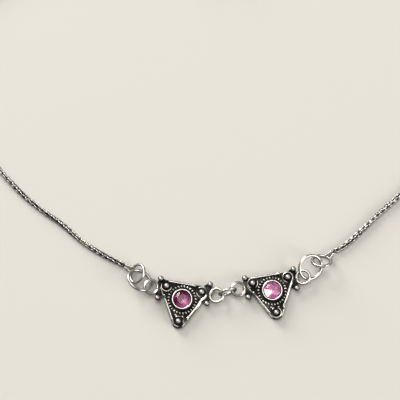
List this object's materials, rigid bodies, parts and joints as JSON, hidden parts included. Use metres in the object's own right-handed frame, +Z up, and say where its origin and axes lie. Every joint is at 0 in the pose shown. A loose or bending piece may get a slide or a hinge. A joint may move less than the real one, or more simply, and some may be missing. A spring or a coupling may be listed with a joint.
{
  "type": "payal anklet",
  "caption": "Fine chain anklet laid as an open loop, with triangular beaded ornaments, round cut stones in bezels, linked jump rings and an S-shaped hook.",
  "frame": {"origin": "bottom centre of the laid loop's box, on the surface that the anklet lies on", "axes": "+X across the loop from the left ornament to the right one, +Y from the ornaments to the hook, +Z up"},
  "size_m": [0.1016, 0.0794, 0.0043],
  "materials": {
    "oxidised_silver": "blackened ground with polished high spots",
    "polished_silver": "polished round wire, dulled in the corners",
    "chain_silver": "polished links with dark gaps",
    "ruby_stone": "faceted, clear magenta red",
    "pink_stone": "faceted, clear pink"
  },
  "bodies": {
    "root": {"motif_left": "oxidised_silver", "motif_right": "oxidised_silver", "stone_left": "ruby_stone", "stone_right": "pink_stone", "middle_link": "polished_silver", "jump_ring_left": "polished_silver", "jump_ring_right": "polished_silver", "chain_end_left_front": "polished_silver", "chain_end_right_front": "polished_silver", "chain_end_left_back": "polished_silver", "chain_end_right_back": "polished_silver", "clasp_hook": "polished_silver", "chain_left": "chain_silver", "chain_right": "chain_silver"}
  },
  "joints": []
}
